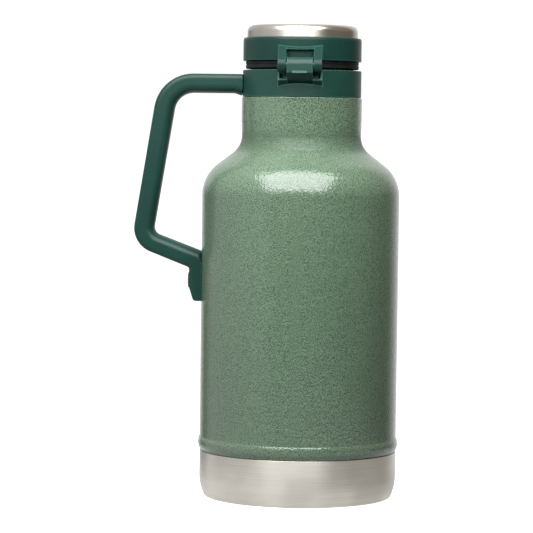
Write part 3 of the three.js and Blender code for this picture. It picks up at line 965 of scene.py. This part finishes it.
def bar_outline(x):
    """Side outline of the thin bar between the legs."""
    y, z = crest(x)
    inside = -math.sqrt((RING_R - 1.2) ** 2 - x ** 2)
    return [(inside, bracket_top_z(inside)), (y, z), (y + 0.25, 270.9), (inside, 270.9)]


def lever_lug(bm):
    """Lug that the latch's lever hangs on."""
    outline = [
        (34, 265.3),
        *arc(LEVER.y, LEVER.z, LEVER_HUB_R, -90, 125, 20),
        (34, 275.4),
    ]
    side_plate(bm, outline, -LUG_HALF, LUG_HALF, 0.3)


def lid_ring():
    """Moulded ring with its inner flange, the hinge's bracket and the lever's lug."""
    bm = bmesh.new()
    turned(bm, [
        (RING_FLANGE_R, RING_LOW),
        *arc(RING_R - 0.3, RING_LOW + 0.3, 0.3, -90, 0, 3),
        *ellipse(RING_R - 0.8, RING_HIGH - 2.2, 0.8, 2.2, 0, 78, 9),
        *arc(RING_BORE_R + 0.2, RING_HIGH - 0.2, 0.2, 90, 180, 3),
        (RING_BORE_R, RING_FLOOR),
        (RING_FLANGE_R, RING_FLOOR),
    ])
    for side in (-1, 1):
        side_shape(bm, leg_outline, side * LEG_IN, side * LEG_OUT, 0.35, 6)
    side_shape(bm, bar_outline, -LEG_IN - 0.4, LEG_IN + 0.4, 0.2, 16)
    lever_lug(bm)
    return put("lid_ring_moulded", bm, RING_GREEN, "lid", "green_plastic", "lid_ring")


def lid_cap():
    """Thin steel cap with a rounded edge and a slightly domed top."""
    top = HEIGHT - CAP_CROWN
    bm = bmesh.new()
    outer_edge = arc(CAP_R - CAP_EDGE_R, top - CAP_EDGE_R, CAP_EDGE_R, 0, 88, 14)
    inner_edge = arc(CAP_R - CAP_EDGE_R, top - CAP_EDGE_R, CAP_EDGE_R - CAP_WALL, 88, 0, 8)
    crown = [(r, HEIGHT - CAP_CROWN * (r / (CAP_R - CAP_EDGE_R)) ** 2) for r in (24, 18, 12, 6, 0)]
    turned(bm, [
        (CAP_R - CAP_WALL, CAP_LOW),
        (CAP_R, CAP_LOW),
        *outer_edge,
        *crown,
        (0, HEIGHT - CAP_WALL),
        (18, HEIGHT - CAP_WALL - 0.25),
        *inner_edge,
    ])
    return put("lid_cap_brushed", bm, CAP_STEEL, "lid", "brushed_steel", "lid_cap")


def lid_gasket():
    """Soft ring with a shallow groove round its edge."""
    middle = (GASKET_LOW + GASKET_HIGH) / 2 + 0.3
    bm = bmesh.new()
    turned(bm, [
        (GASKET_BORE_R, GASKET_LOW),
        *arc(GASKET_R - 0.7, GASKET_LOW + 0.7, 0.7, -90, 0, 6),
        (GASKET_R, middle - 0.5),
        (GASKET_R - 0.35, middle - 0.2),
        (GASKET_R - 0.35, middle + 0.2),
        (GASKET_R, middle + 0.5),
        *arc(GASKET_R - 0.3, GASKET_HIGH - 0.3, 0.3, 0, 90, 3),
        (GASKET_BORE_R, GASKET_HIGH),
    ])
    return put("lid_gasket_ribbed", bm, RUBBER, "lid", "black_rubber", "lid_gasket")


def lid_plug():
    """Plug under the lid, with a shallow dished face and a rounded lip."""
    low, high = cad("lid_plug")
    low, high = low.z, high.z
    lip = radius_of("lid_plug")
    body = 27.6
    bm = bmesh.new()
    turned(bm, [
        (0, low + 1.1),
        (19, low + 1.1),
        (21, low + 0.4),
        *arc(lip - 1.4, low + 1.4, 1.4, -90, 0, 6),
        (lip, GASKET_LOW - 0.3),
        (body, GASKET_LOW - 0.3),
        (body, high),
        (0, high),
    ], INNER_TURN)
    return put("lid_plug_moulded", bm, BLACK, "lid", "black_plastic", "lid_plug")


# ---------- Latch ----------


def pin(name, half, at, body, node):
    """Steel pin along X with chamfered ends."""
    edge = 0.35
    profile = [
        (-half, PIN_R - edge),
        (-half + edge, PIN_R),
        (half - edge, PIN_R),
        (half, PIN_R - edge),
    ]
    bm = bmesh.new()
    loft(bm, circles_x(profile, at.y, at.z))
    return put(name, bm, PIN_STEEL, body, "plain_steel", node)


def latch_lever():
    """Pressed lever: a web with a finger tip and two cheeks."""
    back = 46.1
    wall = 1.5
    top = LEVER.z + 0.8
    web = [
        (back, top),
        (back, 256),
        (48.4, 250.4),
        (49.7, 251.2),
        (back + wall, 256.6),
        (back + wall, top),
    ]
    cheek = [
        *arc(BAIL.y, BAIL.z, 1.9, 20, 190, 14),
        *arc(LEVER.y, LEVER.z, 3.4, 160, 225, 10),
        (back, 258),
        (back + wall, 258),
        (back + wall, top),
    ]
    bm = bmesh.new()
    side_plate(bm, web, -CHEEK_OUT, CHEEK_OUT, 0.3)
    for side in (-1, 1):
        side_plate(bm, cheek, side * CHEEK_IN, side * CHEEK_OUT, 0.3)
    return put("latch_lever_pressed", bm, SHEET_STEEL, "lever", "latch_steel", "latch_lever")


def latch_bail():
    """Bent wire: both ends turn in through the lever's cheeks."""
    end = 6.2
    bend = 2.4
    low = BAIL.z - BAIL_DROP
    corners = [
        (-end, BAIL.z, 0),
        (-BAIL_HALF, BAIL.z, bend),
        (-BAIL_HALF, low, bend),
        (BAIL_HALF, low, bend),
        (BAIL_HALF, BAIL.z, bend),
        (end, BAIL.z, 0),
    ]
    path = []
    for stretch in pieces_of_path(corners, 10):
        path += stretch[1:] if path else stretch
    loops = []
    for i, at in enumerate(path):
        before = path[max(0, i - 1)]
        after = path[min(len(path) - 1, i + 1)]
        forward = (after - before).normalized()
        side = Vector((-forward.y, forward.x))
        circle = arc(0, 0, WIRE_R, 0, 360, 20)[:-1]
        loops.append([(at.x + side.x * c, BAIL.y + s, at.y + side.y * c) for c, s in circle])
    bm = bmesh.new()
    loft(bm, loops)
    return put("latch_bail_wire", bm, PLAIN_STEEL, "bail", "latch_steel", "latch_bail")


# ---------- Inside pieces that keep their CAD shape ----------

KEPT_STEEL = (
    "shell_bottom",
    "vacuum_seal_plug",
    "getter_disc",
    "handle_foot_bracket",
    "handle_top_screw",
    "lid_screw_1",
    "lid_screw_2",
    "lid_screw_3",
)


def dress(node, material):
    """Gives a CAD node its material."""
    materials = frame["nodes"][node].data.materials
    materials.clear()
    materials.append(material)


def dress_kept_nodes():
    """Steel for the inside pieces, and foam for the lid's filling."""
    for node in KEPT_STEEL:
        dress(node, PLAIN_STEEL)
    dress("lid_insulation", FOAM)


# ---------- Studio ----------

# The camera and the key light, in metres and degrees.
LOOK_AT = Vector((-0.0203, 0, 0.1400))
CAMERA_AWAY = 1.57
CAMERA_HEIGHT = 0.221
CAMERA_AZIMUTH = 2.0
CAMERA_ROLL = 0.7
CAMERA_LENS = 174.1              # millimetres

KEY_PLACE = Vector((-0.040, -0.387, 0.5925))
KEY_AIM = Vector((-0.040, -0.05, 0.19))
KEY_WIDTH = 0.784
KEY_HEIGHT = 0.606
KEY_POWER = 10.1                 # watts

# The floor, in millimetres.
FLOOR_RADIUS = 30000.0
PATCH_RADIUS = 380.0             # the patch of floor that the steel foot mirrors
PATCH_FORWARD = 230.0

WHITE = (1, 1, 1)
WARM = (1, 0.88, 0.70)


def facing(place, aim):
    """The matrix of something at a place that looks at its aim."""
    turn = (aim - place).to_track_quat("-Z", "Y")
    return Matrix.Translation(place) @ turn.to_matrix().to_4x4()


def studio_camera():
    """A long lens, a little above the bottle's middle and a little round to its right."""
    data = bpy.data.cameras.new("camera")
    data.lens = CAMERA_LENS
    data.sensor_width = 36
    data.clip_start = 0.05
    data.clip_end = 50
    camera = bpy.data.objects.new("camera", data)
    bpy.context.scene.collection.objects.link(camera)
    turn = math.radians(CAMERA_AZIMUTH)
    place = Vector((CAMERA_AWAY * math.sin(turn), -CAMERA_AWAY * math.cos(turn), CAMERA_HEIGHT))
    roll = Matrix.Rotation(math.radians(CAMERA_ROLL), 4, "Z")
    camera.matrix_world = facing(place, LOOK_AT) @ roll
    bpy.context.scene.camera = camera


def key_light():
    """A wide soft light, above and in front."""
    data = bpy.data.lights.new("key", "AREA")
    data.shape = "RECTANGLE"
    data.size = KEY_WIDTH
    data.size_y = KEY_HEIGHT
    data.energy = KEY_POWER
    light = bpy.data.objects.new("key", data)
    bpy.context.scene.collection.objects.link(light)
    light.matrix_world = facing(KEY_PLACE, KEY_AIM)
    light.visible_camera = False


# What the studio shows at each azimuth, as (share of a full turn, brightness, tint). The turn starts
# and ends at the camera. It passes the left side at 0.25, the back at 0.5 and the right at 0.75.
# Glossy parts mirror the first one at the horizon, and the second from about 9 degrees above it.
LOW_AROUND = (
    (0.00, 0.05, WHITE),
    (0.07, 0.06, WHITE),
    (0.12, 0.55, WHITE),
    (0.20, 0.60, WHITE),
    (0.345, 0.60, WHITE),
    (0.375, 0.08, WHITE),
    (0.41, 0.07, WHITE),
    (0.44, 0.90, WHITE),
    (0.55, 0.90, WHITE),
    (0.60, 0.55, WHITE),
    (0.64, 0.08, WARM),
    (0.72, 0.10, WARM),
    (0.78, 0.12, WARM),
    (0.85, 0.03, WHITE),
    (1.00, 0.04, WHITE),
)
HIGH_AROUND = (
    (0.00, 0.04, WHITE),
    (0.10, 0.35, WHITE),
    (0.15, 0.70, WHITE),
    (0.39, 0.75, WHITE),
    (0.58, 0.85, WHITE),
    (0.64, 0.24, WARM),
    (0.80, 0.32, WARM),
    (0.86, 0.03, WARM),
    (1.00, 0.04, WHITE),
)

# The soft fill from the left and from behind that the dull parts get.
FILL_AROUND = (
    (0.00, 0.02, WHITE),
    (0.09, 0.03, WHITE),
    (0.14, 0.42, WHITE),
    (0.34, 0.42, WHITE),
    (0.40, 0.12, WHITE),
    (0.44, 0.45, WHITE),
    (0.58, 0.45, WHITE),
    (0.66, 0.02, WHITE),
    (1.00, 0.01, WHITE),
)


def around_ramp(nodes, links, share, stops):
    """The studio's brightness round the bottle, at one height."""
    ramp = nodes.new("ShaderNodeValToRGB")
    links.new(share, ramp.inputs["Fac"])
    elements = ramp.color_ramp.elements
    elements[0].position, elements[1].position = stops[0][0], stops[-1][0]
    for position, _, _ in stops[1:-1]:
        elements.new(position)
    for element, (_, level, tint) in zip(elements, stops):
        element.color = (*(level * c for c in tint), 1)
    return ramp.outputs["Color"]


def ranged(nodes, links, value, low, high):
    """A value as a share of the way from low to high."""
    node = nodes.new("ShaderNodeMapRange")
    links.new(value, node.inputs["Value"])
    node.inputs["From Min"].default_value = low
    node.inputs["From Max"].default_value = high
    return node.outputs["Result"]


def blended(nodes, links, share, first, second):
    """One colour fading into another."""
    node = nodes.new("ShaderNodeMix")
    node.data_type = "RGBA"
    links.new(share, node.inputs["Factor"])
    colours = [socket for socket in node.inputs if socket.type == "RGBA"]
    links.new(first, colours[0])
    links.new(second, colours[1])
    return next(socket for socket in node.outputs if socket.type == "RGBA")


def direction_parts(nodes, links):
    """A direction's share of the turn round the bottle, and how far up it points."""
    direction = nodes.new("ShaderNodeTexCoord")
    split = nodes.new("ShaderNodeSeparateXYZ")
    links.new(direction.outputs["Generated"], split.inputs["Vector"])
    azimuth = nodes.new("ShaderNodeMath")
    azimuth.operation = "ARCTAN2"
    links.new(split.outputs["X"], azimuth.inputs[0])
    links.new(split.outputs["Y"], azimuth.inputs[1])
    share = ranged(nodes, links, azimuth.outputs["Value"], -math.pi, math.pi)
    return share, split.outputs["Z"]


def surroundings(nodes, links, is_fill):
    """The light from round the bottle: what its glossy parts mirror, or the dull parts' fill."""
    share, up = direction_parts(nodes, links)
    low = around_ramp(nodes, links, share, LOW_AROUND)
    high = around_ramp(nodes, links, share, HIGH_AROUND)
    fill = around_ramp(nodes, links, share, FILL_AROUND)
    mirrored = blended(nodes, links, ranged(nodes, links, up, 0.0, 0.15), low, high)
    return blended(nodes, links, is_fill, mirrored, fill)


def studio_world():
    """White for the camera; for the bottle, brighter to the left and behind than to the right."""
    world = bpy.data.worlds.new("studio")
    bpy.context.scene.world = world
    world.use_nodes = True
    nodes, links = world.node_tree.nodes, world.node_tree.links
    nodes.clear()
    path = nodes.new("ShaderNodeLightPath")
    around = nodes.new("ShaderNodeBackground")
    links.new(surroundings(nodes, links, path.outputs["Is Diffuse Ray"]), around.inputs["Color"])
    seen = nodes.new("ShaderNodeBackground")
    seen.inputs["Color"].default_value = (1, 1, 1, 1)
    seen.inputs["Strength"].default_value = 1.05
    choose = nodes.new("ShaderNodeMixShader")
    links.new(path.outputs["Is Camera Ray"], choose.inputs["Fac"])
    links.new(around.outputs["Background"], choose.inputs[1])
    links.new(seen.outputs["Background"], choose.inputs[2])
    output = nodes.new("ShaderNodeOutputWorld")
    links.new(choose.outputs["Shader"], output.inputs["Surface"])


def disc(name, radius, height, glow, albedo):
    """A flat glowing disc of the studio, at a height in millimetres."""
    m = Nodes(name)
    m.shade(
        Base_Color=(albedo, albedo, albedo, 1),
        Roughness=0.9,
        Specular_IOR_Level=0.1,
        Emission_Color=(1, 1, 1, 1),
        Emission_Strength=glow,
    )
    bm = bmesh.new()
    bmesh.ops.create_circle(bm, cap_ends=True, segments=96, radius=radius)
    bmesh.ops.translate(bm, vec=(0, 0, height), verts=bm.verts)
    found = bpy.data.objects.new(name, finish_mesh(bm, name))
    bpy.context.scene.collection.objects.link(found)
    found.data.materials.append(m.material)
    return found


def studio_floor():
    """A wide white floor for the camera, and the bright patch of it that the steel foot mirrors."""
    floor = disc("floor", FLOOR_RADIUS, 0, glow=0.95, albedo=0.86)
    floor.visible_diffuse = False
    floor.visible_glossy = False
    floor.visible_shadow = False
    bounce = disc("floor_bounce", PATCH_RADIUS, -1, glow=0.80, albedo=0.0)
    bounce.location.y = -PATCH_FORWARD * MM
    bounce.visible_camera = False
    bounce.visible_diffuse = False
    bounce.visible_shadow = False


studio_camera()
studio_world()
key_light()
studio_floor()
bpy.context.scene.view_settings.view_transform = "Standard"

outer_shell()
base_cup()
inner_liner()
collar()
handle()
foot_screw()
pin("hinge_pin_turned", HINGE_PIN_HALF, HINGE, "bottle", "hinge_pin")
lid_ring()
lid_cap()
lid_gasket()
lid_plug()
pin("lever_pin_turned", LEVER_PIN_HALF, LEVER, "lid", "lever_pin")
latch_lever()
latch_bail()
dress_kept_nodes()
